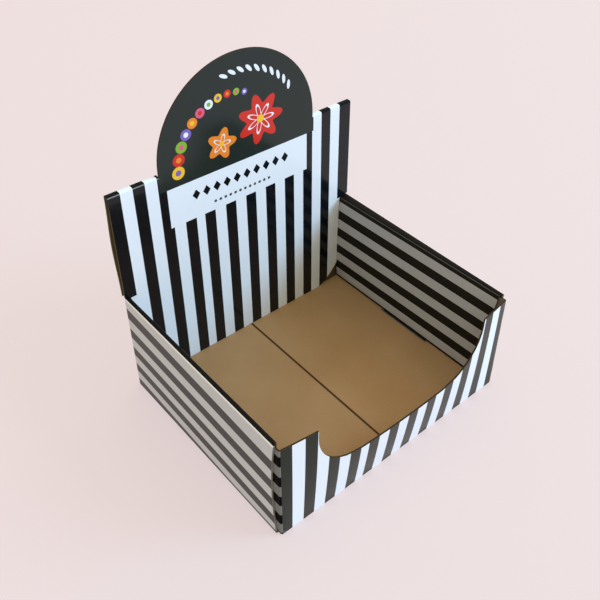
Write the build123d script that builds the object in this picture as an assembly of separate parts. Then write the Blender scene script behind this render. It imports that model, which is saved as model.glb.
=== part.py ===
from build123d import *
import os

# A countertop display tray with an arched header, die-cut and folded from one sheet of
# corrugated board. X runs across the tray, Y from its front to its back, Z up.
# The origin is in the middle of the floor's underside. Sizes are in millimetres.

# Sheet
board = 1.4
ply_gap = 0.15

# Tray, outside to outside
tray_width = 230.0
tray_depth = 193.0
side_height = 96.0

# Rolled-over side walls
side_inset = 4.0
outer_ply_hollow = 3.6
inner_ply_inset = 6.0
inner_ply_taper = 3.0
taper_height = 25.0
foot_spread = 7.6
foot_clearance = 0.3

# Front wall
front_height = 93.0
front_low = 45.0
cutout_width = 166.0
cutout_radius = 41.0
low_edge_bow = 5.8
top_edge_bow = 8.5

# Dust flaps between the plies of the side walls
front_flap_length = 70.0
rear_flap_length = 62.0
flap_taper = 8.0
flap_floor_gap = 0.6

# Doubled back panel with its header
back_height = 190.0
back_thickness = 5.2
panel_step_gap = 1.0
rear_ply_swell = 2.8
arch_radius = 73.0
arch_rise = 3.8
fold_relief = 0.5
front_ply_side_gap = 0.4
front_ply_floor_gap = 0.3
corner_cut_width = 24.0
corner_cut_height = 20.0
corner_cut_bulge = 2.0

# Tabs that lock the side walls into the floor
tab_length = 53.0
tab_lead = 3.0
slot_length = 57.0
slot_width = 3.8

# Score line along which the flat blank doubles over
score_width = 1.4
score_depth = 0.5
score_offset = 1.2

# Derived places, inner (kraft) side of the sheet unless named otherwise
half_width = tray_width / 2
half_depth = tray_depth / 2
side_crease = half_width - board
side_top = side_height - board
side_gap = board + 2 * ply_gap
inner_top = side_crease - side_gap
inner_foot = half_width - foot_spread + board
foot_height = board + foot_clearance
flap_crease = side_crease - ply_gap - board
front_crease = half_depth - board
back_crease = half_depth - board
back_top = back_height - board
back_gap = back_thickness - 2 * board
sleeve_foot = board + flap_floor_gap
panel_step = side_height + panel_step_gap
front_ply_face = half_depth - back_thickness


def arc_between(start, end, bulge, away, offset=0.0):
    """Arc over a chord, bulging by bulge towards away, then offset that way, with its end normals."""
    half_chord = (end - start).length / 2
    radius = (half_chord**2 + bulge**2) / (2 * bulge)
    centre = (start + end) / 2 - away * (radius - bulge)
    first = (start - centre).normalized()
    last = (end - centre).normalized()
    ThreePointArc(start + first * offset, centre + away * (radius + offset), end + last * offset)
    return first, last


def folded_section(creases, bulges=None, swells=None):
    """Section of the sheet, folded along creases given on its kraft side.

    The sheet's print side lies to the right of the travel, and every fold turns left, so each
    fold is sharp on the kraft side and a quarter round of the sheet's thickness on the print side.
    bulges and swells give a run's rise towards the print side, by its number: a bulge is an arc
    from fold to fold, and a swell leaves and meets its ends straight.
    """
    bulges = bulges or {}
    swells = swells or {}
    points = [Vector(*crease) for crease in creases]
    normals = []
    with BuildLine() as outline:
        for number, (start, end) in enumerate(zip(points, points[1:])):
            along = (end - start).normalized()
            away = Vector(along.Y, -along.X)
            normals.append((away, away))
            if number in bulges:
                arc_between(start, end, bulges[number], away)
                normals[-1] = arc_between(start, end, bulges[number], away, board)
            elif number in swells:
                middle = (start + end) / 2 + away * swells[number]
                for face in (away * 0, away * board):
                    Spline(start + face, middle + face, end + face, tangents=(along, along))
            else:
                Line(start, end)
                Line(start + away * board, end + away * board)
        for crease, before, after in zip(points[1:], normals, normals[1:]):
            if before[1] == after[0]:
                continue
            middle = (before[1] + after[0]).normalized()
            ThreePointArc(crease + before[1] * board, crease + middle * board, crease + after[0] * board)
        Line(points[0], points[0] + normals[0][0] * board)
        Line(points[-1], points[-1] + normals[-1][1] * board)
    return make_face(outline.edges())


def prism(plane, outline, low, high):
    """Outline drawn on a plane, carried from low to high along its normal."""
    return extrude(plane.offset(low) * outline, amount=high - low)


def between(x_range, y_range, z_range):
    """Box between two corners."""
    low = Vector(x_range[0], y_range[0], z_range[0])
    high = Vector(x_range[1], y_range[1], z_range[1])
    return Pos(*((low + high) / 2)) * Box(*(high - low))


# Planes whose normals run back and to the right
facing_back = Plane((0, 0, 0), x_dir=(-1, 0, 0), z_dir=(0, 1, 0))
facing_right = Plane.YZ


def floor_and_back():
    """Front fold, floor, rear ply and top fold of the back panel; the side walls stand outside its lower part."""
    section = folded_section(
        [
            (-front_crease, sleeve_foot),
            (-front_crease, board),
            (back_crease, board),
            (back_crease, panel_step),
            (back_crease, back_top),
            (back_crease - back_gap, back_top),
            (back_crease - back_gap, back_top - board),
        ],
        swells={3: rear_ply_swell},
    )
    ribbon = prism(facing_right, section, -half_width, half_width)
    for side in (-1, 1):
        edges = sorted((side * flap_crease, side * (half_width + board)))
        ribbon -= between(edges, (-half_depth - board, half_depth + board), (-board, panel_step))
    return ribbon


def inner_ply_x(height):
    """Kraft face of the leaning inner ply at a height."""
    lean = (inner_top - inner_foot) / (side_top - foot_height)
    return inner_top - lean * (side_top - height)


def front_ply_outline():
    """Front ply of the back panel with the header arch, seen from the front."""
    arch_centre = back_height + arch_rise
    foot = board + front_ply_floor_gap
    side_foot = inner_ply_x(foot) - board - front_ply_side_gap
    side_step = inner_ply_x(side_top) - board - front_ply_side_gap
    cut_top = foot + corner_cut_height
    side_cut = inner_ply_x(cut_top) - board - front_ply_side_gap
    cut_start = side_foot - corner_cut_width
    with BuildLine() as outline:
        Line((0, foot), (cut_start, foot))
        chord_start = Vector(cut_start, foot)
        chord_end = Vector(side_cut, cut_top)
        chord = (chord_end - chord_start).normalized()
        arc_between(chord_start, chord_end, corner_cut_bulge, Vector(chord.Y, -chord.X))
        Polyline((side_cut, cut_top), (side_step, panel_step), (half_width, panel_step), (half_width, back_top))
        Polyline((half_width, back_top), (arch_radius, back_top), (arch_radius, arch_centre))
        RadiusArc((arch_radius, arch_centre), (0, arch_centre + arch_radius), -arch_radius)
        mirror(about=Plane.YZ)
    return make_face(outline.edges())


def back_panel_cuts():
    """What the blank lacks behind the header, because the arch was cut out of the rear ply and top fold."""
    notch = Pos(0, back_height + back_thickness - arch_rise) * Circle(arch_radius)
    behind = half_depth + rear_ply_swell + board
    rear_notch = prism(facing_back, notch, back_crease - ply_gap, behind)
    fold_end = arch_radius + fold_relief
    fold_slot = between(
        (-fold_end, fold_end),
        (front_ply_face + board, behind),
        (back_top - board, back_height + board),
    )
    return rear_notch + fold_slot


def front_sleeve():
    """Front wall with its two dust flaps, straight at its foot and bowed more and more above."""
    flap_end = flap_crease, -front_crease + front_flap_length
    corner = flap_crease, -front_crease
    creases = [(-flap_end[0], flap_end[1]), (-corner[0], corner[1]), corner, flap_end]
    foot = folded_section(creases)
    middle = folded_section(creases, {1: low_edge_bow})
    top = folded_section(creases, {1: top_edge_bow})
    stations = [Pos(0, 0, sleeve_foot) * foot, Pos(0, 0, front_low) * middle, Pos(0, 0, front_height) * top]
    return loft([station.face() for station in stations])


def front_cutout():
    """Window cut down from the front wall's top edge, with large round corners."""
    above = front_height - front_low + cutout_radius
    with BuildSketch() as window:
        with Locations((0, front_low)):
            Rectangle(cutout_width, above, align=(Align.CENTER, Align.MIN))
        fillet(window.vertices().group_by(Axis.Y)[0], cutout_radius)
    return prism(facing_back, window.sketch, -half_depth - 2 * top_edge_bow, -front_crease + board)


def rear_sleeve():
    """Foot of the rear ply with its two dust flaps."""
    flap_start = flap_crease, back_crease - rear_flap_length
    corner = flap_crease, back_crease
    section = folded_section([flap_start, corner, (-corner[0], corner[1]), (-flap_start[0], flap_start[1])])
    return prism(Plane.XY, section, sleeve_foot, front_height)


def flap_trim(end, inwards):
    """Taper along the top of a dust flap, cut off both sides at once; end is the free edge's place."""
    fold = end - inwards * (front_flap_length if inwards > 0 else rear_flap_length)
    start = fold + inwards * (side_inset + board)
    with BuildLine() as wedge:
        Polyline(
            (start, front_height),
            (end, front_height - flap_taper),
            (end + inwards * board, front_height - flap_taper),
            (end + inwards * board, front_height + board),
            (start, front_height + board),
            close=True,
        )
    outline = make_face(wedge.edges())
    return prism(facing_right, outline, -half_width, half_width)


def side_walls():
    """Floor and both rolled-over side walls, down to the feet of their inner plies."""
    section = folded_section(
        [
            (-inner_foot, foot_height),
            (-inner_top, side_top),
            (-side_crease, side_top),
            (-side_crease, board),
            (side_crease, board),
            (side_crease, side_top),
            (inner_top, side_top),
            (inner_foot, foot_height),
        ]
    )
    length = half_depth - side_inset
    return prism(facing_back, section, -length, length)


def side_trims():
    """Hollow front edges of the outer plies and set-back, tapered ends of the rolled-over plies."""
    start = -half_depth + side_inset
    rolled_front = -half_depth + inner_ply_inset
    with BuildLine() as hollow:
        arc_between(Vector(start, 0), Vector(start, side_height), outer_ply_hollow, Vector(1, 0))
        Line((start, 0), (start, side_height))
    outer = make_face(hollow.edges())
    trim_foot = foot_height - foot_clearance / 2
    taper_top = side_top - board
    with BuildLine() as ends:
        Polyline(
            (start - board, trim_foot),
            (rolled_front + inner_ply_taper, trim_foot),
            (rolled_front + inner_ply_taper, taper_top - taper_height),
            (rolled_front, taper_top),
            (rolled_front, side_height + board),
            (start - board, side_height + board),
            close=True,
        )
    inner = make_face(ends.edges())
    trims = []
    for side in (-1, 1):
        roll_edges = sorted((side * (inner_foot - 2 * board), side * side_crease))
        outer_edges = sorted((side * side_crease, side * (half_width + board)))
        trims.append(prism(facing_right, inner, *roll_edges))
        trims.append(prism(facing_right, outer, *outer_edges))
    return trims


def tab(side):
    """Tab at the foot of an inner ply, led in at both ends, that drops through the floor."""
    top = foot_height + board
    x_top = inner_ply_x(top)
    x_low = inner_ply_x(ply_gap)
    section = Polyline((x_top, top), (x_low, ply_gap), (x_low - board, ply_gap), (x_top - board, top), close=True)
    blade = prism(facing_back, make_face(section.edges()), -tab_length / 2, tab_length / 2)
    return blade if side < 0 else mirror(blade, about=Plane.YZ)


def floor_slot(side):
    """Slot in the floor that takes a tab, open towards the middle of the tray."""
    outer = inner_ply_x(0) + ply_gap
    edges = sorted((side * outer, side * (outer - slot_width)))
    return between(edges, (-slot_length / 2, slot_length / 2), (-board, 2 * board))


def floor_score():
    """Shallow score from front to back in the kraft face of the floor."""
    with BuildLine() as groove:
        Polyline(
            (score_offset - score_width / 2, board),
            (score_offset, board - score_depth),
            (score_offset + score_width / 2, board),
            close=True,
        )
    return prism(facing_back, make_face(groove.edges()), -front_crease, back_crease)


def display_tray():
    back = floor_and_back() - back_panel_cuts()
    back += prism(facing_back, front_ply_outline(), front_ply_face, front_ply_face + board)
    front = front_sleeve() - front_cutout() - flap_trim(-front_crease + front_flap_length, 1)
    rear = rear_sleeve() - flap_trim(back_crease - rear_flap_length, -1)
    sides = side_walls()
    for trim in side_trims():
        sides -= trim
    tray = back + front + rear + sides
    for side in (-1, 1):
        tray -= floor_slot(side)
        tray += tab(side)
    tray -= floor_score()
    return tray


tray = display_tray()
os.makedirs("parts", exist_ok=True)
export_step(tray.solid(), "parts/display_tray.step")
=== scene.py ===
import math

import bpy
import numpy as np
from mathutils import Matrix, Vector


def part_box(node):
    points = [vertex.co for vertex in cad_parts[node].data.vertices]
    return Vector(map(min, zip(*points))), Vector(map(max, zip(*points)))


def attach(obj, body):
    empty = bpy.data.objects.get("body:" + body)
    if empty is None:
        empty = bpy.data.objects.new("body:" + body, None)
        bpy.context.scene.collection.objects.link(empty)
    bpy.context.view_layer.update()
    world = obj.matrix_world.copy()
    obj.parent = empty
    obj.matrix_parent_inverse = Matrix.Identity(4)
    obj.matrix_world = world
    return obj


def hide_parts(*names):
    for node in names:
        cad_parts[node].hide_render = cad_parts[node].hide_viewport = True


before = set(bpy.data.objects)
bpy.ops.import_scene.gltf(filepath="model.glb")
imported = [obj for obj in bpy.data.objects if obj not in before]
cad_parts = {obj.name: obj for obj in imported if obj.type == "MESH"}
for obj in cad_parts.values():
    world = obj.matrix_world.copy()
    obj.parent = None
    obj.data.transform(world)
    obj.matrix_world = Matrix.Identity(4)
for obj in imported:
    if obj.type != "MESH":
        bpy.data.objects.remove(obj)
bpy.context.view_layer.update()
# Everything below is in millimetres and turned to metres when a mesh is made.
metre = 1000.0
mm = 1 / metre
low, high = (np.array(corner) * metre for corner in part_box("display_tray"))
print("frame loaded, box in mm", low.round(1), high.round(1))

sheet = dict(
    board=1.4,  # E-flute board with a coated outer liner
    halfWidth=high[0],
    halfDepth=96.5,
    sideHeight=96.0,
    cell=6.5,  # grid step of the flat panels
    archCell=4.0,  # and finer ones across the arch, up the back panel's foot and along curves
    footCell=3.0,
    curveCell=2.5,
    foldSteps=5,  # facets round a fold
    sharpAngle=32.0,
)
walls = dict(
    plyGap=0.15,
    frontInset=4.0,  # side walls stop short of the front and rear faces
    hollow=3.6,  # inward curve of the outer ply's front edge
    insetFrom=60.0,  # these shifts grow from this far in front of the middle
    rolledInset=6.0,  # the rolled-over plies stop further back
    rolledTaper=3.0,
    taperHeight=25.0,
    footSpread=7.6,  # the inner ply leans into the tray at its foot
    flare={-1: 0.0, 1: 4.3},  # on the right it also stands further in at its rear end, above the foot
    footClearance=0.3,
    tabFoot=0.15,
    tabHalf=26.5,
    slotHalf=28.5,
    slotWidth=3.8,
)
frontWall = dict(height=93.0, low=45.0, cutHalf=83.0, cutRadius=41.0, lowBow=5.8, topBow=8.5)
flaps = dict(front=70.0, rear=62.0, taper=8.0, floorGap=0.6, inkStart=3.4, inkPitch=10.5)
backPanel = dict(
    height=190.0,
    thickness=5.2,
    step=97.0,
    swell=2.8,  # the rear ply stands off behind the front ply
    archRadius=73.0,
    archRise=3.8,
    sideGap=0.4,
    floorGap=0.3,
    cutWidth=24.0,
    cutHeight=20.0,
    cutBulge=2.0,
    cutRows=(6.0, 2.0),  # rows of points this far above the front ply's foot, for the arc
    notchRows=24,
    archRows=40,
)
score = dict(place=1.2, width=1.4, depth=0.5, line=(0.95, 0.5))  # the dark line fades over these shares
tiny = 1e-6
weldsPerMm = 2000  # points closer than this are one

board = sheet["board"]
crease = sheet["halfWidth"] - board
flapX = crease - walls["plyGap"] - board
depthCrease = sheet["halfDepth"] - board
sideTop = sheet["sideHeight"] - board
innerTop = crease - board - 2 * walls["plyGap"]
innerFoot = sheet["halfWidth"] - walls["footSpread"] + board
footZ = board + walls["footClearance"]
sleeveFoot = board + flaps["floorGap"]
sideEnd = sheet["halfDepth"] - walls["frontInset"]
backTop = backPanel["height"] - board
frontPlyY = sheet["halfDepth"] - backPanel["thickness"] + board
archCentre = backPanel["height"] + backPanel["archRise"]


def innerPlyX(z):
    # kraft face of the leaning inner ply: a straight line from its top crease to its foot
    return innerTop + (innerFoot - innerTop) * (sideTop - z) / (sideTop - footZ)


def steps(*stops, cell=None):
    # values that pass through every stop, evenly spaced between them
    cell = cell or sheet["cell"]
    runs = [np.linspace(a, b, max(1, round(abs(b - a) / cell)) + 1)[:-1] for a, b in zip(stops, stops[1:])]
    return np.append(np.concatenate(runs), stops[-1])


def flareIn(side, y, z):
    # how far the rolled ply stands in: a straight line along the wall, a quartic that flattens up it
    along = np.clip((y + sideEnd) / (2 * sideEnd), 0, 1)
    return walls["flare"][side] * along * (1 - np.clip(1 - z / sideTop, 0, 1) ** 4)


slotOuter = innerPlyX(0) + walls["plyGap"]
slotInner = slotOuter - walls["slotWidth"]
plySteps = {
    side: innerPlyX(sideTop) - board - backPanel["sideGap"] - flare for side, flare in walls["flare"].items()
}
cutFlat = frontWall["cutHalf"] - frontWall["cutRadius"]
scoreStops = [score["place"] + score["width"] * side for side in (-0.5, 0, 0.5)]
halfStops = [flapX, slotOuter, slotInner, cutFlat]
sheetXs = steps(*[-x for x in halfStops], *scoreStops, *halfStops[::-1])
sideStops = [walls["tabHalf"], walls["slotHalf"], sideEnd]
sideYs = steps(*[-y for y in sideStops[::-1]], *sideStops)


class Blank:
    # the folded sheet: a grid of kraft points and one of print points for each panel
    def __init__(self):
        self.kraft, self.printed, self.ink, self.fold, self.cells, self.material = [], [], [], [], [], []
        self.count = 0

    def panel(self, kraft, printed, ink, fold=0.0, keep=None, material=0):
        rows, columns = kraft.shape[:2]
        index = self.count + np.arange(rows * columns).reshape(rows, columns)
        quads = np.stack([index[:-1, :-1], index[1:, :-1], index[1:, 1:], index[:-1, 1:]], axis=-1)
        keep = np.ones(quads.shape[:2], bool) if keep is None else keep
        self.kraft.append(kraft.reshape(-1, 3))
        self.printed.append(printed.reshape(-1, 3))
        self.ink.append(np.broadcast_to(ink, (rows, columns, 2)).reshape(-1, 2))
        self.fold.append(np.broadcast_to(fold, (rows, columns)).reshape(-1))
        self.cells.append(quads[keep])
        self.material.append(np.broadcast_to(material, keep.shape)[keep])
        self.count += rows * columns


def mergePoints(points):
    # equal points get one number
    keys = np.round(points * weldsPerMm).astype(np.int64)
    first, number = np.unique(keys, axis=0, return_index=True, return_inverse=True)[1:]
    return points[first], number.reshape(-1)


def dropDoubles(faces, corners):
    # quads that touch themselves become triangles, and those that close to a line go
    same = faces == np.roll(faces, -1, axis=1)
    doubles = same.sum(axis=1)
    quads = doubles == 0
    thin = doubles == 1
    turn = (np.argmax(same[thin], axis=1)[:, None] + 1 + np.arange(4)) % 4
    triangles = np.take_along_axis(faces[thin], turn, axis=1)[:, :3]
    triangleCorners = np.take_along_axis(corners[thin], turn, axis=1)[:, :3]
    return (faces[quads], corners[quads], quads), (triangles, triangleCorners, thin)


def buildSheet(name, blank, materials):
    # print layer, kraft layer and the cut edge between them make one closed shell
    kraft, printed = np.concatenate(blank.kraft), np.concatenate(blank.printed)
    ink, fold = np.concatenate(blank.ink), np.concatenate(blank.fold)
    cells, cellMaterial = np.concatenate(blank.cells), np.concatenate(blank.material)

    corner = printed[cells]
    facing = np.cross(corner[:, 2] - corner[:, 0], corner[:, 3] - corner[:, 1])
    outward = (printed - kraft)[cells].mean(axis=1)
    turned = (facing * outward).sum(axis=1) < 0
    cells[turned] = cells[turned][:, ::-1]

    kraftPoints, kraftNumber = mergePoints(kraft)
    printPoints, printNumber = mergePoints(printed)
    kraftNumber = kraftNumber + len(printPoints)

    # an edge that only one cell uses is a cut edge
    pairs, pairNumber = mergePoints(np.hstack([kraft, printed]))
    starts, ends = cells.reshape(-1), np.roll(cells, -1, axis=1).reshape(-1)
    forward = pairNumber[starts] * len(pairs) + pairNumber[ends]
    backward = pairNumber[ends] * len(pairs) + pairNumber[starts]
    isCut = ~np.isin(forward, backward) & (pairNumber[starts] != pairNumber[ends])
    starts, ends = starts[isCut], ends[isCut]
    rim = np.stack([printNumber[ends], printNumber[starts], kraftNumber[starts], kraftNumber[ends]], axis=1)
    rimCorners = np.stack([ends, starts, starts, ends], axis=1)

    # the ink map holds the panel's own, X and Y on the kraft side, and the way along the cut edge
    along = kraft.sum(axis=1)
    layers = [
        (printNumber[cells], cells, cellMaterial, ink),
        (kraftNumber[cells][:, ::-1], cells[:, ::-1], np.full(len(cells), slot["kraft"]), kraft[:, :2]),
        (rim, rimCorners, np.full(len(rim), slot["edge"]), np.stack([along, along], axis=1)),
    ]
    faces, uvs, slots = [], [], []
    for numbers, corners, slotNumbers, places in layers:
        for shape, shapeCorners, chosen in dropDoubles(numbers, corners):
            uv = places[shapeCorners]
            if numbers is rim:
                # across it: 1 on the print side and 0 on the kraft side
                uv[..., 1] = shape < len(printPoints)
            faces.append(shape)
            uvs.append(uv.reshape(-1, 2))
            slots.append(slotNumbers[chosen])

    points = np.vstack([printPoints, kraftPoints]) * mm
    mesh = bpy.data.meshes.new(name)
    mesh.from_pydata(points.tolist(), [], [face for group in faces for face in group.tolist()])
    layer = mesh.uv_layers.new(name="ink")
    layer.data.foreach_set("uv", np.concatenate(uvs).reshape(-1).astype(np.float32))
    mesh.polygons.foreach_set("material_index", np.concatenate(slots).astype(np.int32))
    attribute = mesh.attributes.new("fold", "FLOAT", "POINT")
    foldValues = np.zeros(len(points), dtype=np.float32)
    np.maximum.at(foldValues, printNumber, fold.astype(np.float32))
    attribute.data.foreach_set("value", foldValues)
    mesh.shade_smooth()
    mesh.set_sharp_from_angle(angle=math.radians(sheet["sharpAngle"]))
    mesh.validate()
    for material in materials:
        mesh.materials.append(material)
    piece = bpy.data.objects.new(name, mesh)
    bpy.context.collection.objects.link(piece)
    print(name, len(mesh.polygons), "faces")
    return piece


def turnFrom(first, second, ends=(True, True)):
    # unit directions that turn from one face's normal to the next, and how far each is into the fold
    chosen = slice(None if ends[0] else 1, None if ends[1] else -1)
    turn = np.linspace(0, 1, sheet["foldSteps"] + 1)[chosen, None]
    fan = np.array(first, float) * (1 - turn) + np.array(second, float) * turn
    return fan / np.linalg.norm(fan, axis=-1, keepdims=True), 1 - np.abs(2 * turn[:, 0] - 1)


def foldedPath(points):
    # a path of creases in a plane, sharp on the kraft side and round on the print side:
    # rows of kraft points, unit directions to the print side and a mark that peaks in each fold
    place, away, mark = [], [], []
    for number, (start, end) in enumerate(zip(points, points[1:])):
        start, end = np.array(start, float), np.array(end, float)
        length = np.hypot(*(end - start))
        normal = np.array([end[1] - start[1], start[0] - end[0]]) / length
        line = np.linspace(start, end, max(1, round(length / sheet["cell"])) + 1)
        if number and np.abs(away[-1][-1] - normal).max() > tiny:
            fan, peak = turnFrom(away[-1][-1], normal, ends=(False, False))
            place.append(np.repeat(line[:1], len(fan), axis=0))
            away.append(fan)
            mark.append(peak)
        elif number:
            line = line[1:]
        place.append(line)
        away.append(np.repeat(normal[None, :], len(line), axis=0))
        mark.append(np.zeros(len(line)))
    return np.concatenate(place), np.concatenate(away), np.concatenate(mark)


sideStripes = dict(
    first=5.2,  # top of the lowest dark stripe
    pitch=8.5, spread=0.15,  # they widen slightly towards the top
    count=11,
    upLast=8.9, strip=9.05,  # stripe numbers of the top strip and of the plies beside it
    downFirst=9.1, innerStart=10, innerTop=90.7, innerPitch=9.6,
    stripInk=(9.0, 9.2),  # the range that is printed as the top strip
    stripFacing=0.75,  # it takes in the parts of its folds that face up this much
    slant={-1: 0.04, 1: 0.021},  # the outer plies' print isn't quite square to the folds
)


def stripesUp(z):
    # stripe number up the outer ply: the height is a quadratic in the number, light up to the top fold
    number = np.arange(-1, sideStripes["count"])
    rise = sideStripes["first"] + sideStripes["pitch"] * number + sideStripes["spread"] * number**2
    return np.interp(z, rise, number)


blank = Blank()
# each material's number in the list of materials
slot = dict(walls=0, panels=1, front=2, kraft=3, edge=4, rolled=5, flaps=6, caps=7)


def addFloor():
    xs = np.concatenate([[-crease], sheetXs, [crease]])
    ys = np.concatenate([[-depthCrease], sideYs, [depthCrease]])
    x, y = np.meshgrid(xs, ys)
    # the score is a groove of triangular section in the kraft face
    dip = score["depth"] * np.clip(1 - np.abs(x - score["place"]) / (score["width"] / 2), 0, 1)
    kraft = np.stack([x, y, board - dip], axis=-1)
    printed = np.stack([x, y, 0 * x], axis=-1)
    fromX, fromY = (np.abs(values[:-1, :-1] + values[1:, 1:]) / 2 for values in (x, y))
    corner = (fromX > flapX) & (fromY > sideEnd)
    slotted = (fromX > slotInner) & (fromX < slotOuter) & (fromY < walls["slotHalf"])
    # the middle of a light stripe all over the underside
    blank.panel(kraft, printed, np.array([0.5, 0.0]), keep=~corner & ~slotted)


def addSideWall(side):
    tabEnd = (innerPlyX(walls["tabFoot"]), walls["tabFoot"])
    place, away, mark = foldedPath(
        [(crease, board), (crease, sideTop), (innerTop, sideTop), (innerFoot, footZ), tabEnd]
    )
    # the first fan belongs to the fold out of the floor
    fan, peak = turnFrom((0, -1), (1, 0), ends=(True, False))
    place = np.vstack([np.repeat(place[:1], len(fan), axis=0), place])
    away = np.vstack([fan, away])
    mark = np.concatenate([0 * peak, mark])
    x, z = place.T
    outer = place + away * board
    rolled = x < crease - tiny
    # the outer ply's front edge is an arc, and the rolled plies are set back and tapered
    height = np.clip(outer[:, 1] / sheet["sideHeight"], 0, 1)
    hollow = walls["hollow"] * 4 * height * (1 - height)
    taper = np.clip((sideTop - board - z) / walls["taperHeight"], 0, 1) * walls["rolledTaper"]
    shift = np.where(rolled, walls["rolledInset"] - walls["frontInset"] + taper, hollow)
    y = sideYs[None, :] * np.ones((len(x), 1))
    y = y + shift[:, None] * np.clip((-y - walls["insetFrom"]) / (sideEnd - walls["insetFrom"]), 0, 1)
    columns = np.ones(y.shape)
    inwards = flareIn(side, y, z[:, None]) * np.clip((crease - x) / (crease - innerTop), 0, 1)[:, None]
    kraft = np.stack([side * (x[:, None] - inwards), y, z[:, None] * columns], axis=-1)
    printed = np.stack([side * (outer[:, :1] - inwards), y, outer[:, 1:] * columns], axis=-1)
    # stripes run along the wall: up the outer ply, dark over the top, then down the inner ply
    spec = sideStripes
    slant = spec["slant"][side] * y * ~rolled[:, None]
    height = outer[:, 1:] * columns
    up = np.minimum(stripesUp(height - slant), spec["upLast"])
    down = spec["innerStart"] + (spec["innerTop"] - height) / spec["innerPitch"]
    down = np.maximum(down, spec["downFirst"])
    onStrip = (z > sideTop - tiny) & (away[:, 1] > spec["stripFacing"])
    number = np.where(onStrip[:, None], spec["strip"], np.where(rolled[:, None], down, up))
    ink = np.stack([number, y], axis=-1)
    # only the tab reaches below the foot
    rowMiddle = (z[:-1] + z[1:]) / 2
    below = (rowMiddle < footZ - tiny) & rolled[1:]
    offTab = np.abs((sideYs[:-1] + sideYs[1:]) / 2) > walls["tabHalf"]
    keep = ~(below[:, None] & offTab[None, :])
    # the varnish ends at the top fold
    coated = np.arange(len(z) - 1) < np.argmax(onStrip)
    material = np.where(coated, slot["walls"], slot["rolled"])[:, None]
    blank.panel(kraft, printed, ink, fold=mark[:, None] * columns, keep=keep, material=material)


def addStrip(x, y, z, normals, mark=0.0, shift=0.0, front=True, material="panels"):
    # rows of constant Y and Z, each with its own X values; the normals are (Y, Z) pairs
    columns = np.ones(x.shape)
    y, z = y[:, None] * columns, z[:, None] * columns
    kraft = np.stack([x, y, z], axis=-1)
    printed = np.stack([x, y + normals[:, :1] * board, z + normals[:, 1:] * board], axis=-1)
    ink = np.stack([x + shift, z if front else -z], axis=-1)
    fold = np.broadcast_to(mark, len(y))[:, None] * columns
    blank.panel(kraft, printed, ink, fold=fold, material=slot[material])


notchCentre = backPanel["height"] + backPanel["thickness"] - backPanel["archRise"]
notchFoot = notchCentre - backPanel["archRadius"]
panelHalves = {
    -1: -sheetXs[sheetXs <= scoreStops[1] + tiny],
    1: sheetXs[sheetXs >= scoreStops[1] - tiny][::-1],
}


def rearPlyY(z):
    # above the step the ply swells back and returns: a smooth step up to half height and one down again
    t = np.clip((z - backPanel["step"]) / (backTop - backPanel["step"]), 0, 1)
    half = 1 - np.abs(2 * t - 1)
    return depthCrease + backPanel["swell"] * half**2 * (3 - 2 * half)


def addRearPly():
    # fold out of the floor, then the ply between its dust flaps
    fan, peak = turnFrom((0, -1), (1, 0), ends=(True, False))
    straight = steps(board, sleeveFoot, frontWall["height"], backPanel["step"])
    z = np.concatenate([np.full(len(fan), board), straight])
    normals = np.vstack([fan, np.repeat([[1.0, 0.0]], len(straight), axis=0)])
    x = sheetXs[None, :] * np.ones((len(z), 1))
    addStrip(x, np.full(len(z), depthCrease), z, normals, front=False)
    # above the step it is wider, and the arch was cut out of its top: rows by the angle round the notch
    radius = backPanel["archRadius"]
    angle = np.linspace(0, math.acos((notchCentre - backTop) / radius), backPanel["notchRows"])
    z = np.append(steps(backPanel["step"], notchFoot)[:-1], notchCentre - radius * np.cos(angle))
    small = 0.01
    slope = (rearPlyY(z + small) - rearPlyY(z - small)) / (2 * small)
    normals = np.stack([np.ones(len(z)), -slope], axis=1) / np.hypot(1, slope)[:, None]
    normals[[0, -1]] = (1.0, 0.0)
    reach = radius * np.sqrt(np.maximum(1 - ((notchCentre - z) / radius) ** 2, 0))
    reach[z <= notchFoot + tiny] = 0
    for side, base in panelHalves.items():
        share = (flapX - base) / (flapX - base[-1])
        inner = np.where(reach > 0, reach, base[-1])
        x = flapX + (inner[:, None] - flapX) * share
        x = np.hstack([np.full((len(z), 1), sheet["halfWidth"]), x])
        addStrip(side * x, rearPlyY(z), z, normals, front=False)
        addTopFold(side, x[-1])


def addTopFold(side, rearX):
    # beside the arch the sheet goes on over the top; the path's 1 mm ends only give the folds their direction
    place, away, mark = foldedPath(
        [(depthCrease, backTop - 1), (depthCrease, backTop), (frontPlyY, backTop), (frontPlyY, backTop - 1)]
    )
    place, away, mark = place[1:-1], away[1:-1], mark[1:-1]
    share = ((depthCrease - place[:, 0]) / (depthCrease - frontPlyY))[:, None]
    x = rearX * (1 - share) + outerColumns(side) * share
    addStrip(side * x, place[:, 0], place[:, 1], away, mark, material="caps")


def outerColumns(side):
    # the front ply's columns from its side edge to the arch, as many as the rear ply has,
    # with one of them where the ply narrows at the step
    base = panelHalves[side]
    share = (flapX - base) / (flapX - base[-1])
    columns = np.append(sheet["halfWidth"], flapX + (backPanel["archRadius"] - flapX) * share)
    columns[np.abs(columns - plySteps[side]).argmin()] = plySteps[side]
    return columns


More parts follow.
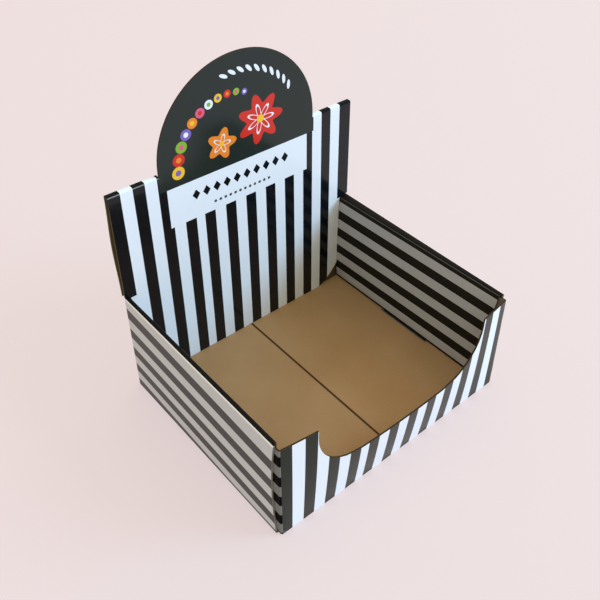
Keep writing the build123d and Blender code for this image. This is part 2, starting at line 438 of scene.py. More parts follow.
def frontPlyHalf(side, z):
    # half width of the front ply below the step: it follows the leaning side walls,
    # and its lower corners are cut off by a shallow arc
    straight = innerPlyX(z) - board - backPanel["sideGap"] - flareIn(side, sideEnd, z)
    foot = board + backPanel["floorGap"]
    top = foot + backPanel["cutHeight"]
    sideFoot = innerPlyX(foot) - board - backPanel["sideGap"]
    start = np.array([sideFoot - backPanel["cutWidth"], foot])
    end = np.array([innerPlyX(top) - board - backPanel["sideGap"] - flareIn(side, sideEnd, top), top])
    half = np.hypot(*(end - start)) / 2
    radius = (half**2 + backPanel["cutBulge"] ** 2) / (2 * backPanel["cutBulge"])
    along = (end - start) / (2 * half)
    away = np.array([along[1], -along[0]])
    centre = (start + end) / 2 - away * (radius - backPanel["cutBulge"])
    onArc = centre[0] + np.sqrt(np.maximum(radius**2 - (z - centre[1]) ** 2, 0))
    return np.where(z < top, np.minimum(onArc, straight), straight)


def addFrontPly():
    def addRows(x, z):
        addStrip(x, np.full(len(z), frontPlyY), z, np.repeat([[-1.0, 0.0]], len(z), axis=0))

    middle = steps(-backPanel["archRadius"], backPanel["archRadius"], cell=sheet["archCell"])
    xs = np.concatenate([-outerColumns(-1), middle[1:-1], outerColumns(1)[::-1]])
    z = steps(backTop, backPanel["step"])
    addRows(xs * np.ones((len(z), 1)), z)
    # below the step it stands between the side walls
    foot = board + backPanel["floorGap"]
    levels = [foot + height for height in (backPanel["cutHeight"], *backPanel["cutRows"], 0)]
    z = steps(backPanel["step"], sideTop, *levels, cell=sheet["footCell"])
    parts = []
    for side in (-1, 1):
        part = xs[(xs * side >= 0) & (xs * side <= plySteps[side] + tiny)] / plySteps[side]
        parts.append(part * frontPlyHalf(side, np.minimum(z, sideTop))[:, None])
    addRows(np.hstack(parts), z)
    # the arch goes straight up for a little way, then its half circle closes to a point
    straight = steps(backTop, archCentre, cell=sheet["curveCell"])
    angle = np.linspace(0, math.pi / 2, backPanel["archRows"])[1:]
    width = np.append(np.ones(len(straight)), np.cos(angle))
    z = np.append(straight, archCentre + backPanel["archRadius"] * np.sin(angle))
    addRows(middle * width[:, None], z)


def frontBow(x, z):
    # the front wall leans out: a parabola across, growing from the foot by a quadratic
    lowHeight, topHeight = frontWall["low"] - sleeveFoot, frontWall["height"] - sleeveFoot
    curve = (frontWall["topBow"] / topHeight - frontWall["lowBow"] / lowHeight) / (topHeight - lowHeight)
    slope = frontWall["lowBow"] / lowHeight - curve * lowHeight
    rise = np.maximum(z - sleeveFoot, 0)
    return (slope * rise + curve * rise**2) * (1 - (x / flapX) ** 2)


def bowedFront(x, z):
    # kraft and print points of the front wall, the print side a board's thickness along the normal
    small = 0.05
    y = -depthCrease - frontBow(x, z)
    slopeX = -(frontBow(x + small, z) - frontBow(x - small, z)) / (2 * small)
    slopeZ = -(frontBow(x, z + small) - frontBow(x, z - small)) / (2 * small)
    slopeZ = np.where(z <= sleeveFoot + tiny, 0, slopeZ)
    normal = np.stack([slopeX, -np.ones(x.shape), slopeZ], axis=-1)
    normal /= np.linalg.norm(normal, axis=-1, keepdims=True)
    kraft = np.stack([x, y, z], axis=-1)
    return kraft, kraft + normal * board


frontPrintShift = -1.7  # the front wall's stripes sit a little to the right of the back panel's


def addFrontWall():
    # fold out of the floor
    fan, peak = turnFrom((0, -1), (-1, 0))
    x = sheetXs * np.ones((len(fan), 1))
    addStrip(x, np.full(len(fan), -depthCrease), np.full(len(fan), board), fan,
             shift=frontPrintShift, front=False, material="front")
    # below the cut-out
    x, z = np.meshgrid(sheetXs, steps(board, sleeveFoot, frontWall["low"]))
    kraft, printed = bowedFront(x, z)
    blank.panel(kraft, printed, np.stack([x + frontPrintShift, -z], axis=-1), material=slot["front"])
    # uprights beside the cut-out, whose inner edge is a quarter circle and then straight
    cutTurn = frontWall["low"] + frontWall["cutRadius"]
    z = steps(frontWall["low"], cutTurn, frontWall["height"], cell=sheet["curveCell"])
    drop = np.clip(cutTurn - z, 0, None)
    inner = cutFlat + np.sqrt(np.maximum(frontWall["cutRadius"] ** 2 - drop**2, 0))
    base = sheetXs[sheetXs >= cutFlat - tiny]
    share = (base - cutFlat) / (flapX - cutFlat)
    for side in (-1, 1):
        x = side * (inner[:, None] + (flapX - inner[:, None]) * share[None, :])
        kraft, printed = bowedFront(x, z[:, None] * np.ones(x.shape))
        ink = np.stack([x + frontPrintShift, -kraft[..., 2]], axis=-1)
        blank.panel(kraft, printed, ink, material=slot["front"])


def addFlap(side, ends, z, normalAtFold):
    # a dust flap: from its fold in a corner, back between the plies of the side wall
    start, end = ends
    inwards = np.sign(end - start)
    level = walls["frontInset"] + 2 * board
    outwards = np.array([side, 0.0, 0.0])
    turn = np.linspace(0, 1, sheet["foldSteps"] + 1)[None, :, None]
    fan = normalAtFold[:, None, :] * (1 - turn) + outwards * turn
    fan /= np.linalg.norm(fan, axis=-1, keepdims=True)
    ys = steps(start, start + inwards * level, end)
    # the top is level at the corner and then falls in a straight line
    share = np.clip((np.abs(ys - start) - level) / (abs(end - start) - level), 0, 1)
    reach = 1 - flaps["taper"] * share / (frontWall["height"] - sleeveFoot)
    height = sleeveFoot + (z[:, None] - sleeveFoot) * reach
    kraft = np.stack([np.full(height.shape, side * flapX), ys * np.ones(height.shape), height], axis=-1)
    fold = np.repeat(kraft[:, :1], fan.shape[1] - 1, axis=1)
    kraft = np.concatenate([fold, kraft], axis=1)
    away = np.concatenate([fan[:, :-1], np.broadcast_to(outwards, (len(z), len(ys), 3))], axis=1)
    ink = np.stack([(kraft[..., 2] - flaps["inkStart"]) / flaps["inkPitch"], kraft[..., 1]], axis=-1)
    blank.panel(kraft, kraft + away * board, ink, material=slot["flaps"])


def addFlaps():
    cutFoot, cutTurn = frontWall["low"], frontWall["low"] + frontWall["cutRadius"]
    upper = steps(cutFoot, cutTurn, frontWall["height"], cell=sheet["curveCell"])
    rows = np.concatenate([steps(sleeveFoot, cutFoot)[:-1], upper])
    rearRows = steps(sleeveFoot, frontWall["height"])
    for side in (-1, 1):
        kraft, printed = bowedFront(np.full(len(rows), side * flapX), rows)
        addFlap(side, (-depthCrease, -depthCrease + flaps["front"]), rows, (printed - kraft) / board)
        back = np.repeat([[0.0, 1.0, 0.0]], len(rearRows), axis=0)
        addFlap(side, (depthCrease, depthCrease - flaps["rear"]), rearRows, back)


addFloor()
for side in (-1, 1):
    addSideWall(side)
addRearPly()
addFrontPly()
addFrontWall()
addFlaps()
print("panels laid out")


def fromHex(text):
    # sRGB hex to linear
    values = [int(text[i:i + 2], 16) / 255 for i in (1, 3, 5)]
    return tuple(v / 12.92 if v <= 0.04045 else ((v + 0.055) / 1.055) ** 2.4 for v in values) + (1.0,)


def newMaterial(name, roughness, ior):
    material = bpy.data.materials.new(name)
    material.use_nodes = True
    shader = material.node_tree.nodes["Principled BSDF"]
    shader.inputs["Roughness"].default_value = roughness
    shader.inputs["IOR"].default_value = ior
    return material, material.node_tree, shader


def add(tree, kind, *values, **settings):
    # one node: its kind, for a maths node followed by the operation, then what goes into its sockets
    # in use, in their order, and its settings; gives back its first output in use
    name, *mode = kind.split()
    node = tree.nodes.new("ShaderNode" + name)
    if mode:
        setattr(node, "data_type" if name == "Mix" else "operation", mode[0])
    for key, value in settings.items():
        setattr(node, key, value)
    for socket, value in zip([socket for socket in node.inputs if socket.enabled], values):
        if isinstance(value, bpy.types.NodeSocket):
            tree.links.new(value, socket)
        else:
            socket.default_value = value
    return next(socket for socket in node.outputs if socket.enabled)


def inkPlace(tree):
    # the print's own map: millimetres across and up a panel, or a stripe number and millimetres along
    place = add(tree, "UVMap", uv_map="ink")
    return list(add(tree, "SeparateXYZ", place).node.outputs)[:2]


def objectPlace(tree):
    # Object coordinates, whole and as X, Y and Z
    place = add(tree, "TexCoord").node.outputs["Object"]
    return [place, *add(tree, "SeparateXYZ", place).node.outputs]


inkColours = dict(
    white="#E4EFF8", black="#0B1117", headerBlackAndSheen="#202B28", frontBlack="#07190B",
    red="#CF2F22", yellow="#EFC12B", green="#7DB32F", pink="#DB5C86",
    violet="#7A64B8", orange="#E8862B", grey="#4A4D50", crackAndGlint="#828682",
    # the side walls' white is painted greyer than the panels' white, as their shade
    wallWhiteInShade="#CAD0D0", wallBlack="#272722", foldHighlight="#FAFDFF",
    plyWhite="#C3C7C9", plyBlack="#272520", stripBlack="#100F10", plyFoldGlint="#5C5A56",
    # the flaps' white is painted dark, as their shade in the corners between the walls
    flapWhiteInShade="#7F8280", flapBlack="#0B0A08", worn="#4A463C", foot="#2B2620",
)
inks = {name: fromHex(text) for name, text in inkColours.items()}
finish = dict(
    edgeSoft=0.09,  # printed edges blur over this many mm
    stripeEdge=(0.012, -0.036),  # the sine's values between which a stripe turns dark
    swell=41.667, grain=2.0,  # mm between the board's faint swellings, and between specks
    grainShare=0.02, bump=0.25, bumpDepth=0.6, bumpBlur=0.1,
    # the painted highlight on the folds fades in over these
    highlightSoft=0.15, highlightStart=0.05,
    footShade=(4.0, 3.0),  # a side wall's foot is painted darker under this height, as shade where it meets the table
)
edgeSoft = finish["edgeSoft"]


def inside(tree, value, start, end):
    # 1 between the two values, with a soft start and end
    rising = add(tree, "MapRange", value, start - edgeSoft, start + edgeSoft)
    falling = add(tree, "MapRange", value, end + edgeSoft, end - edgeSoft)
    return add(tree, "Math MULTIPLY", rising, falling)


def stripes(tree, number):
    # dark where the sine of the stripe number is negative
    wave = add(tree, "Math SINE", add(tree, "Math MULTIPLY", number, math.pi))
    return add(tree, "MapRange", wave, *finish["stripeEdge"])


def finishPrint(tree, shader, colour):
    # the board swells faintly under the print, which has a fine grain of its own
    place = add(tree, "TexCoord").node.outputs["Object"]
    fine = add(tree, "TexNoise", place, metre / finish["grain"], 3.0)
    swell = add(tree, "TexNoise", place, metre / finish["swell"], 1.0)
    height = add(tree, "Math MULTIPLY_ADD", fine, finish["grainShare"], swell)
    depth = finish["bumpDepth"] * mm
    bump = add(tree, "Bump", finish["bump"], depth, finish["bumpBlur"], height)
    tree.links.new(colour, shader.inputs["Base Color"])
    tree.links.new(bump, shader.inputs["Normal"])


def makeSidePrint(name, light, dark, highlightInk, highlightFrom, roughness, ior):
    # stripes along a side wall or flap, darker on the top strip, with painted shade at the foot;
    # past one stripe number the folds get a painted highlight
    material, tree, shader = newMaterial(name, roughness, ior)
    number = inkPlace(tree)[0]
    onStrip = inside(tree, number, *sideStripes["stripInk"])
    darkInk = add(tree, "Mix RGBA", onStrip, inks[dark], inks["stripBlack"])
    colour = add(tree, "Mix RGBA", stripes(tree, number), inks[light], darkInk)
    # painted highlight along the fold crests
    fold = add(tree, "Attribute", attribute_name="fold").node.outputs["Fac"]
    onHighlight = add(tree, "MapRange", fold, 0.0, finish["highlightSoft"])
    past = add(tree, "MapRange", number, highlightFrom, highlightFrom + finish["highlightStart"])
    colour = add(tree, "Mix RGBA", add(tree, "Math MULTIPLY", onHighlight, past), colour, inks[highlightInk])
    # painted shade: darker towards the foot, where the wall meets the table
    height = objectPlace(tree)[3]
    shadedFoot = add(tree, "MapRange", height, *(level * mm for level in finish["footShade"]))
    colour = add(tree, "Mix RGBA", shadedFoot, colour, inks["foot"])
    finishPrint(tree, shader, colour)
    return material


upright = dict(
    pitch=10.0,
    seam=-40.0, left=125.0, right=127.25,  # the two printed halves meet a little short of each other
    first=1.2, last=23.8,  # stripe numbers go no further, so both edges are dark
    outermost=(2.15, 22.85), outermostTop=95.3,  # the outermost stripes stop at the side walls' height
    bandX=(-67.9, 66.6), bandZ=(141.6, 175.9),
    headerX=(-74.0, 74.0), headerTop=400.0,
    rub=(6.0, 4.5), rubRagged=3.0,  # mm from the front wall's bottom corners
    crackAndGlintY=(0.35, 0.15),  # mm behind the cap's front crease
    crackAndGlintX=(-60.0, -75.0), crackAndGlintBack=10.0,  # only at the left, and behind the tray's middle
)
# places in mm from the tray's middle and underside, angles in degrees
header = dict(
    outlines=(1.0, 0.52, 0.4), heart=0.19,  # shares of a flower's radius
    flowers=(
        dict(centre=(20.0, 206.0), radius=17.5, petal=4.2, petals=7, ink="red"),
        dict(centre=(-17.0, 197.0), radius=11.0, petal=2.7, petals=5, ink="orange"),
    ),
    beads=dict(count=11, start=187.0, turn=-10.6, ring=(57.0, 40.0), size=(5.4, 2.6), hole=0.45, shift=3,
               inks=("yellow", "red", "green", "violet", "orange", "pink", "white")),
    leaves=dict(ring=58.0, start=30.4, end=106.4, pitch=7.6, length=3.9, width=1.5, lean=38.0, soft=0.08),
    lozenges=dict(height=162.5, pitch=9.6, half=(3.5, 4.6), reach=48.0, soft=0.03),
    dots=dict(height=149.3, pitch=4.8, radius=1.3, reach=28.8),
)


def disc(tree, spot, centre, radius):
    # 1 inside a circle, with a soft rim
    away = add(tree, "VectorMath DISTANCE", spot, (*centre, 0.0))
    return add(tree, "MapRange", away, radius + edgeSoft, radius - edgeSoft)


def folded(tree, value, pitch):
    # distance from the middle of the repeat that the value falls in
    part = add(tree, "Math FLOORED_MODULO", value, pitch)
    return add(tree, "Math SUBTRACT", part, pitch / 2)


def polar(tree, spot, centre):
    # how far a spot lies from the centre, and at what angle
    away = add(tree, "VectorMath SUBTRACT", spot, (*centre, 0.0))
    parts = add(tree, "SeparateXYZ", away).node.outputs
    return add(tree, "VectorMath LENGTH", away), add(tree, "Math ARCTAN2", parts[1], parts[0])


def drawFlower(tree, colour, spot, spec):
    # petals: the radius grows and shrinks with the cosine of the angle
    away, angle = polar(tree, spot, spec["centre"])
    wave = add(tree, "Math COSINE", add(tree, "Math MULTIPLY", angle, spec["petals"]))
    rim = add(tree, "Math SUBTRACT", away, add(tree, "Math MULTIPLY", wave, spec["petal"]))
    for share, ink in zip(header["outlines"], (spec["ink"], "white", spec["ink"])):
        reach = share * spec["radius"]
        shape = add(tree, "MapRange", rim, reach + edgeSoft, reach - edgeSoft)
        colour = add(tree, "Mix RGBA", shape, colour, inks[ink])
    heart = disc(tree, spot, spec["centre"], header["heart"] * spec["radius"])
    return add(tree, "Mix RGBA", heart, colour, inks["yellow"])


def drawBeads(tree, colour, spot):
    # discs of bright colours on a spiral round the arch's centre, each smaller than the last
    spec = header["beads"]
    for number in range(spec["count"]):
        share = number / (spec["count"] - 1)
        angle = math.radians(spec["start"] + spec["turn"] * number)
        ring, size = (first + (last - first) * share for first, last in (spec["ring"], spec["size"]))
        centre = (ring * math.cos(angle), archCentre + ring * math.sin(angle))
        for radius, shift in ((size, 0), (size * spec["hole"], spec["shift"])):
            ink = spec["inks"][(number + shift) % len(spec["inks"])]
            colour = add(tree, "Mix RGBA", disc(tree, spot, centre, radius), colour, inks[ink])
    return colour


def drawLeaves(tree, colour, spot):
    # a row of white leaves along a ring: an ellipse repeated by angle and leaned out
    spec = header["leaves"]
    away, angle = polar(tree, spot, (0.0, archCentre))
    arc = add(tree, "Math MULTIPLY", angle, spec["ring"])
    out = add(tree, "Math SUBTRACT", away, spec["ring"])
    leaf = add(tree, "CombineXYZ", folded(tree, arc, spec["pitch"]), out)
    lean = math.radians(spec["lean"])
    long = (math.cos(lean) / spec["length"], math.sin(lean) / spec["length"], 0.0)
    wide = (-math.sin(lean) / spec["width"], math.cos(lean) / spec["width"], 0.0)
    sides = [add(tree, "VectorMath DOT_PRODUCT", leaf, axis) for axis in (long, wide)]
    oval = add(tree, "CombineXYZ", *sides)
    size = add(tree, "VectorMath DOT_PRODUCT", oval, oval)
    shape = add(tree, "MapRange", size, 1 + spec["soft"], 1 - spec["soft"])
    inRow = inside(tree, arc, spec["start"], spec["end"])
    return add(tree, "Mix RGBA", add(tree, "Math MULTIPLY", shape, inRow), colour, inks["white"])


def drawBand(tree, colour, x, z):
    # a row of dark lozenges over a row of small dots on the light label band
    spec = header["lozenges"]
    across = add(tree, "Math ABSOLUTE", folded(tree, x, spec["pitch"]))
    rise = add(tree, "Math ABSOLUTE", add(tree, "Math SUBTRACT", z, spec["height"]))
    parts = [add(tree, "Math DIVIDE", *pair) for pair in zip((across, rise), spec["half"])]
    shape = add(tree, "MapRange", add(tree, "Math ADD", *parts), 1 + spec["soft"], 1 - spec["soft"])
    inRow = inside(tree, x, -spec["reach"], spec["reach"])
    colour = add(tree, "Mix RGBA", add(tree, "Math MULTIPLY", shape, inRow), colour, inks["black"])
    spec = header["dots"]
    spot = add(tree, "CombineXYZ", folded(tree, x, spec["pitch"]), z)
    shape = disc(tree, spot, (0.0, spec["height"]), spec["radius"])
    inRow = inside(tree, x, -spec["reach"], spec["reach"])
    return add(tree, "Mix RGBA", add(tree, "Math MULTIPLY", shape, inRow), colour, inks["grey"])


def stripesAcross(tree, x):
    # stripe number over the width: light between an even number and the next, dark at the sheet's edges
    onRight = add(tree, "Math GREATER_THAN", x, upright["seam"])
    start = add(tree, "Math MULTIPLY_ADD", onRight, upright["right"] - upright["left"], upright["left"])
    number = add(tree, "Math DIVIDE", add(tree, "Math ADD", x, start), upright["pitch"])
    return add(tree, "Math MINIMUM", add(tree, "Math MAXIMUM", number, upright["first"]), upright["last"])


def makeUprightPrint(name, dark, roughness, ior):
    # upright stripes of the front wall and the back panel's caps, rubbed brown at the wall's bottom
    # corners, with a light line along the left cap's front crease: cracked ink and a painted glint
    material, tree, shader = newMaterial(name, roughness, ior)
    x, height = inkPlace(tree)
    onDark = stripes(tree, stripesAcross(tree, x))
    colour = add(tree, "Mix RGBA", onDark, inks["white"], inks[dark])
    parts = objectPlace(tree)
    fromEdge = add(tree, "Math SUBTRACT", flapX, add(tree, "Math ABSOLUTE", x))
    reach = add(tree, "Math ADD", fromEdge, add(tree, "Math ABSOLUTE", height))
    grain = add(tree, "TexNoise", parts[0], metre / finish["grain"], 2.0)
    ragged = add(tree, "Math MULTIPLY_ADD", grain, upright["rubRagged"], reach)
    colour = add(tree, "Mix RGBA", add(tree, "MapRange", ragged, *upright["rub"]), colour, inks["worn"])
    # cracked ink and painted glint along the cap's front crease, on its dark stripes
    crackAndGlint = onDark
    nearCrease = [(frontPlyY - board + behind) * mm for behind in upright["crackAndGlintY"]]
    inBack = (0.0, upright["crackAndGlintBack"] * mm)
    for value, limits in ((parts[2], nearCrease), (x, upright["crackAndGlintX"]), (parts[2], inBack)):
        crackAndGlint = add(tree, "Math MULTIPLY", crackAndGlint, add(tree, "MapRange", value, *limits))
    colour = add(tree, "Mix RGBA", crackAndGlint, colour, inks["crackAndGlint"])
    finishPrint(tree, shader, colour)
    return material


def makePanelPrint():
    # varnished liner of the back panel, the glossiest: upright stripes, light label band and dark header, its
    # black partly painted reflection
    material, tree, shader = newMaterial("varnishedLinerPanel", roughness=0.13, ior=1.37)
    x, z = inkPlace(tree)
    spot = add(tree, "CombineXYZ", x, z)
    number = stripesAcross(tree, x)
    band = add(tree, "Math MULTIPLY", inside(tree, x, *upright["bandX"]), inside(tree, z, *upright["bandZ"]))
    outermost = add(tree, "Math SUBTRACT", 1.0, inside(tree, number, *upright["outermost"]))
    low = add(tree, "Math MULTIPLY", inside(tree, z, 0.0, upright["outermostTop"]), outermost)
    light = add(tree, "Math MAXIMUM", band, low)
    top = inside(tree, z, upright["bandZ"][1], upright["headerTop"])
    top = add(tree, "Math MULTIPLY", inside(tree, x, *upright["headerX"]), top)
    dark = add(tree, "Math MULTIPLY", stripes(tree, number), add(tree, "Math SUBTRACT", 1.0, light))
    colour = add(tree, "Mix RGBA", dark, inks["white"], inks["black"])
    # the header's black is lifted to a greenish grey: painted reflection over black print
    colour = add(tree, "Mix RGBA", top, colour, inks["headerBlackAndSheen"])
    colour = drawLeaves(tree, colour, spot)
    colour = drawBeads(tree, colour, spot)
    for spec in header["flowers"]:
        colour = drawFlower(tree, colour, spot, spec)
    colour = drawBand(tree, colour, x, z)
    finishPrint(tree, shader, colour)
    return material


kraftLiner = dict(
    brown="#9F7A50", pale="#BF9D72",  # the clouds' two shades
    cloud=55.556, cloudShare=1.4, cloudRange=(0.0, 2.1),
    right=7.0, ends=90.0,  # painted light: how fast it gets paler with X and with the square of Y
    fibre=1.1111, fibreRange=(0.35, 0.75), fibreShare=0.14, fibreInk="#7E5B38",
    crushedAndShaded="#47290F", crushedAndShadedShare=0.95,
    deep="#5A5132", deepFrom=(0.5, 1.5),
    scuffed="#8E8374", scuffX=(99.0, 102.0), scuffY=(-80.0, -84.0),
    bump=0.12, bumpDepth=0.2, bumpBlur=0.1,
)


def makeKraft():
    # unbleached kraft liner: matt brown with faint clouds and fibres, darker along the score, where crushed
    # kraft and painted shade in its groove darken it; the fibres are drawn a millimetre apart, as real ones
    # are too fine to show
    material, tree, shader = newMaterial("kraftLiner", roughness=0.75, ior=1.35)
    spec = kraftLiner
    place, x, y, z = objectPlace(tree)
    fibre = add(tree, "TexNoise", place, metre / spec["fibre"], 4.0)
    # painted light: the sheet is paler to the right and towards its front and back ends, against the shade of
    # the right wall, front wall and back panel
    right = add(tree, "VectorMath DOT_PRODUCT", place, (spec["right"], 0.0, 0.0))
    paintedLightFill = add(tree, "Math MULTIPLY_ADD", add(tree, "Math MULTIPLY", y, y), spec["ends"], right)
    noise = add(tree, "TexNoise", place, metre / spec["cloud"], 2.0)
    cloud = add(tree, "Math MULTIPLY_ADD", noise, spec["cloudShare"], paintedLightFill)
    cloud = add(tree, "MapRange", cloud, *spec["cloudRange"])
    colour = add(tree, "Mix RGBA", cloud, fromHex(spec["brown"]), fromHex(spec["pale"]))
    dark = add(tree, "MapRange", fibre, *spec["fibreRange"])
    dark = add(tree, "Math MULTIPLY", dark, spec["fibreShare"])
    colour = add(tree, "Mix RGBA", dark, colour, fromHex(spec["fibreInk"]))
    # crushed kraft and painted shade in the score's groove
    fromScore = add(tree, "Math ABSOLUTE", add(tree, "Math SUBTRACT", x, score["place"] * mm))
    line = add(tree, "MapRange", fromScore, *(share * score["width"] * mm for share in score["line"]))
    onFloor = add(tree, "Math LESS_THAN", z, 2 * board * mm)
    crushedAndShaded = add(tree, "Math MULTIPLY", add(tree, "Math MULTIPLY", line, onFloor), spec["crushedAndShadedShare"])
    colour = add(tree, "Mix RGBA", crushedAndShaded, colour, fromHex(spec["crushedAndShaded"]))
    # between the plies of the back panel it lies in the dark
    deep = add(tree, "MapRange", y, *((frontPlyY + behind) * mm for behind in spec["deepFrom"]))
    colour = add(tree, "Mix RGBA", deep, colour, fromHex(spec["deep"]))
    # and at the right front corner it is scuffed grey
    atRight = add(tree, "MapRange", x, *(limit * mm for limit in spec["scuffX"]))
    atFront = add(tree, "MapRange", y, *(limit * mm for limit in spec["scuffY"]))
    corner = add(tree, "Math MULTIPLY", atRight, atFront)
    colour = add(tree, "Mix RGBA", corner, colour, fromHex(spec["scuffed"]))
    bump = add(tree, "Bump", spec["bump"], spec["bumpDepth"] * mm, spec["bumpBlur"], fibre)
    tree.links.new(colour, shader.inputs["Base Color"])
    tree.links.new(bump, shader.inputs["Normal"])
    return material


cutEdge = dict(
    fluteShade="#1A120A", paper="#4E3D28", upright="#3C3320", back="#635A3E", scuffed="#8C897F",
    fluteWave=3.2, waveHeight=0.28,  # mm along the edge, and a share of the board
    fluteEdge=(0.16, 0.08), linerEdge=(0.32, 0.36),
    uprightSlope=(0.3, 0.15),
    backFrom=85.0, backTop=(182.0, 170.0), sideSlack=0.1,
)


def makeCutEdge():
    # die-cut edge of the board: along top edges two liners and the wave of the flute between them, its
    # hollows painted dark as shade; on upright ones, along the flutes, plain brown paper, scuffed pale at the
    # side walls' front ends
    material, tree, shader = newMaterial("cutFluteEdge", roughness=0.85, ior=1.3)
    spec = cutEdge
    along, across = inkPlace(tree)
    wave = add(tree, "Math SINE", add(tree, "Math MULTIPLY", along, 2 * math.pi / spec["fluteWave"]))
    wave = add(tree, "Math MULTIPLY", wave, spec["waveHeight"])
    middle = add(tree, "Math SUBTRACT", across, 0.5)
    fromWave = add(tree, "Math ABSOLUTE", add(tree, "Math SUBTRACT", middle, wave))
    paper = add(tree, "MapRange", fromWave, *spec["fluteEdge"])
    liner = add(tree, "MapRange", add(tree, "Math ABSOLUTE", middle), *spec["linerEdge"])
    paper = add(tree, "Math MAXIMUM", paper, liner)
    # the flute's hollows are painted shade
    colour = add(tree, "Mix RGBA", paper, fromHex(spec["fluteShade"]), fromHex(spec["paper"]))
    normal = add(tree, "NewGeometry").node.outputs["Normal"]
    rise = add(tree, "Math ABSOLUTE", add(tree, "SeparateXYZ", normal).node.outputs[2])
    isUpright = add(tree, "MapRange", rise, *spec["uprightSlope"])
    colour = add(tree, "Mix RGBA", isUpright, colour, fromHex(spec["upright"]))
    x, y, z = objectPlace(tree)[1:]
    atBack = add(tree, "Math GREATER_THAN", y, spec["backFrom"] * mm)
    underTop = add(tree, "MapRange", z, *(level * mm for level in spec["backTop"]))
    atBack = add(tree, "Math MULTIPLY", atBack, underTop)
    atSide = add(tree, "Math GREATER_THAN", add(tree, "Math ABSOLUTE", x), (crease - spec["sideSlack"]) * mm)
    atFront = add(tree, "Math MULTIPLY", atSide, add(tree, "Math LESS_THAN", y, 0.0))
    for where, ink in ((atBack, "back"), (atFront, "scuffed")):
        share = add(tree, "Math MULTIPLY", where, isUpright)
        colour = add(tree, "Mix RGBA", share, colour, fromHex(spec[ink]))
    tree.links.new(colour, shader.inputs["Base Color"])
    return material


# varnished outer walls, their white painted greyer as shade; rolled plies, flaps and caps have less varnish
materials = [
    makeSidePrint("varnishedLinerWalls", "wallWhiteInShade", "wallBlack", "foldHighlight", 7.0, roughness=0.4, ior=1.35),
    makePanelPrint(),
    makeUprightPrint("varnishedLinerFront", "frontBlack", roughness=0.16, ior=1.3),
    makeKraft(),
    makeCutEdge(),
    makeSidePrint("bareLinerRolled", "plyWhite", "plyBlack", "plyFoldGlint", 9.35, roughness=0.5, ior=1.12),
    # the flaps' white is painted dark as shade
    makeSidePrint("bareLinerFlaps", "flapWhiteInShade", "flapBlack", "flapWhiteInShade", 20.0, roughness=0.6, ior=1.08),
    makeUprightPrint("bareLinerCaps", "black", roughness=0.45, ior=1.12),
]
print("materials made")
tray = buildSheet("displayTraySheet", blank, materials)
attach(tray, "root")
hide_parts("display_tray")
print("sheet folded")

studio = dict(
    floor="#807979", glow="#EBDCDE", glowStrength=0.735, floorSize=30.0,
    sky="#FFF6DD", skyLevel=0.73, skyTowards=(0.5, 0.0, 0.36),  # brighter to the right and above
    haze="#EADADB", hazeTop=0.2, glowEdge=(-7.0, -4.0),
    keyPlace=(2.322, -1.948, 1.75), keySize=1.8, keyPower=102.0, keyColour="#A6D4FF",
)


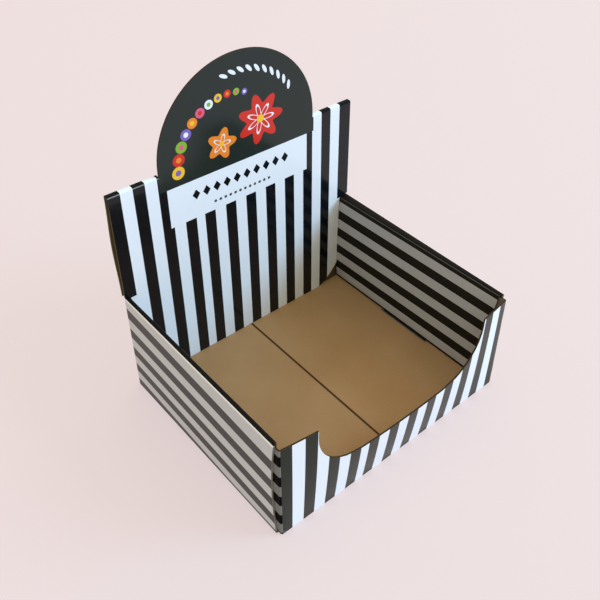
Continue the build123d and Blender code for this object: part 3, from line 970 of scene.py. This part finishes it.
def makeStudio():
    size = studio["floorSize"]
    mesh = bpy.data.meshes.new("studioFloor")
    corners = [(x * size, y * size, 0) for x, y in ((-1, -1), (1, -1), (1, 1), (-1, 1))]
    mesh.from_pydata(corners, [], [(0, 1, 2, 3)])
    # a pale matt table that is partly lit from below, so that shadows on it stay faint
    material, tree, shader = newMaterial("paleTable", roughness=0.95, ior=1.3)
    shader.inputs["Base Color"].default_value = fromHex(studio["floor"])
    shader.inputs["Emission Color"].default_value = fromHex(studio["glow"])
    # no glow under the tray, where it would shine through the slots
    x, y = objectPlace(tree)[1:3]
    outside = [
        add(tree, "Math SUBTRACT", add(tree, "Math ABSOLUTE", value), half * mm)
        for value, half in ((x, sheet["halfWidth"]), (y, sheet["halfDepth"]))
    ]
    clear = add(tree, "Math MAXIMUM", *outside)
    clear = add(tree, "MapRange", clear, *(edge * mm for edge in studio["glowEdge"]))
    glow = add(tree, "Math MULTIPLY", clear, studio["glowStrength"])
    tree.links.new(glow, shader.inputs["Emission Strength"])
    mesh.materials.append(material)
    floor = bpy.data.objects.new("studioFloor", mesh)
    bpy.context.collection.objects.link(floor)
    # the sky is brighter on the window's side, where its strength grows along one direction,
    # and takes the table's colour towards the horizon
    world = bpy.data.worlds.new("softSky")
    world.use_nodes = True
    tree = world.node_tree
    facing = add(tree, "TexCoord").node.outputs["Generated"]
    lean = add(tree, "VectorMath DOT_PRODUCT", facing, studio["skyTowards"])
    strength = add(tree, "Math ADD", lean, studio["skyLevel"])
    sky = add(tree, "Background", fromHex(studio["sky"]), strength)
    haze = add(tree, "Background", fromHex(studio["haze"]))
    height = add(tree, "SeparateXYZ", facing).node.outputs[2]
    share = add(tree, "MapRange", height, studio["hazeTop"], 0.0)
    tree.links.new(add(tree, "MixShader", share, sky, haze), tree.nodes["World Output"].inputs["Surface"])
    bpy.context.scene.world = world


def addKey():
    light = bpy.data.lights.new("key", "AREA")
    light.shape = "DISK"
    light.size = studio["keySize"]
    light.energy = studio["keyPower"]
    light.color = fromHex(studio["keyColour"])[:3]
    lamp = bpy.data.objects.new("key", light)
    lamp.location = studio["keyPlace"]
    lamp.rotation_euler = (-Vector(studio["keyPlace"])).to_track_quat("-Z", "Y").to_euler()
    bpy.context.collection.objects.link(lamp)


# Camera solved from the photo: focal length and picture centre in its pixels, place in millimetres.
shot = dict(focal=802.9, centre=(320.5, 252.0), image=600.0, place=(-307.8, -355.4, 506.6),
            heading=-41.24, tilt=37.96, roll=0.86)


def makeCamera():
    heading, tilt, roll = (math.radians(shot[key]) for key in ("heading", "tilt", "roll"))
    # looking along +Y at heading 0, turned about Z, then down, then rolled about the line of sight
    turn = Matrix.Rotation(heading, 3, "Z") @ Matrix.Rotation(math.pi / 2 - tilt, 3, "X")
    turn = turn @ Matrix.Rotation(roll, 3, "Z")
    camera = bpy.data.cameras.new("photoCamera")
    camera.sensor_width = 36.0
    camera.lens = shot["focal"] * camera.sensor_width / shot["image"]
    camera.shift_x = (shot["image"] / 2 - shot["centre"][0]) / shot["image"]
    camera.shift_y = (shot["centre"][1] - shot["image"] / 2) / shot["image"]
    camera.clip_start = 0.01
    holder = bpy.data.objects.new("photoCamera", camera)
    holder.matrix_world = Matrix.Translation(Vector(shot["place"]) * mm) @ turn.to_4x4()
    bpy.context.collection.objects.link(holder)
    bpy.context.scene.camera = holder


makeStudio()
addKey()
makeCamera()
bpy.context.scene.view_settings.view_transform = "Standard"
print("studio set")
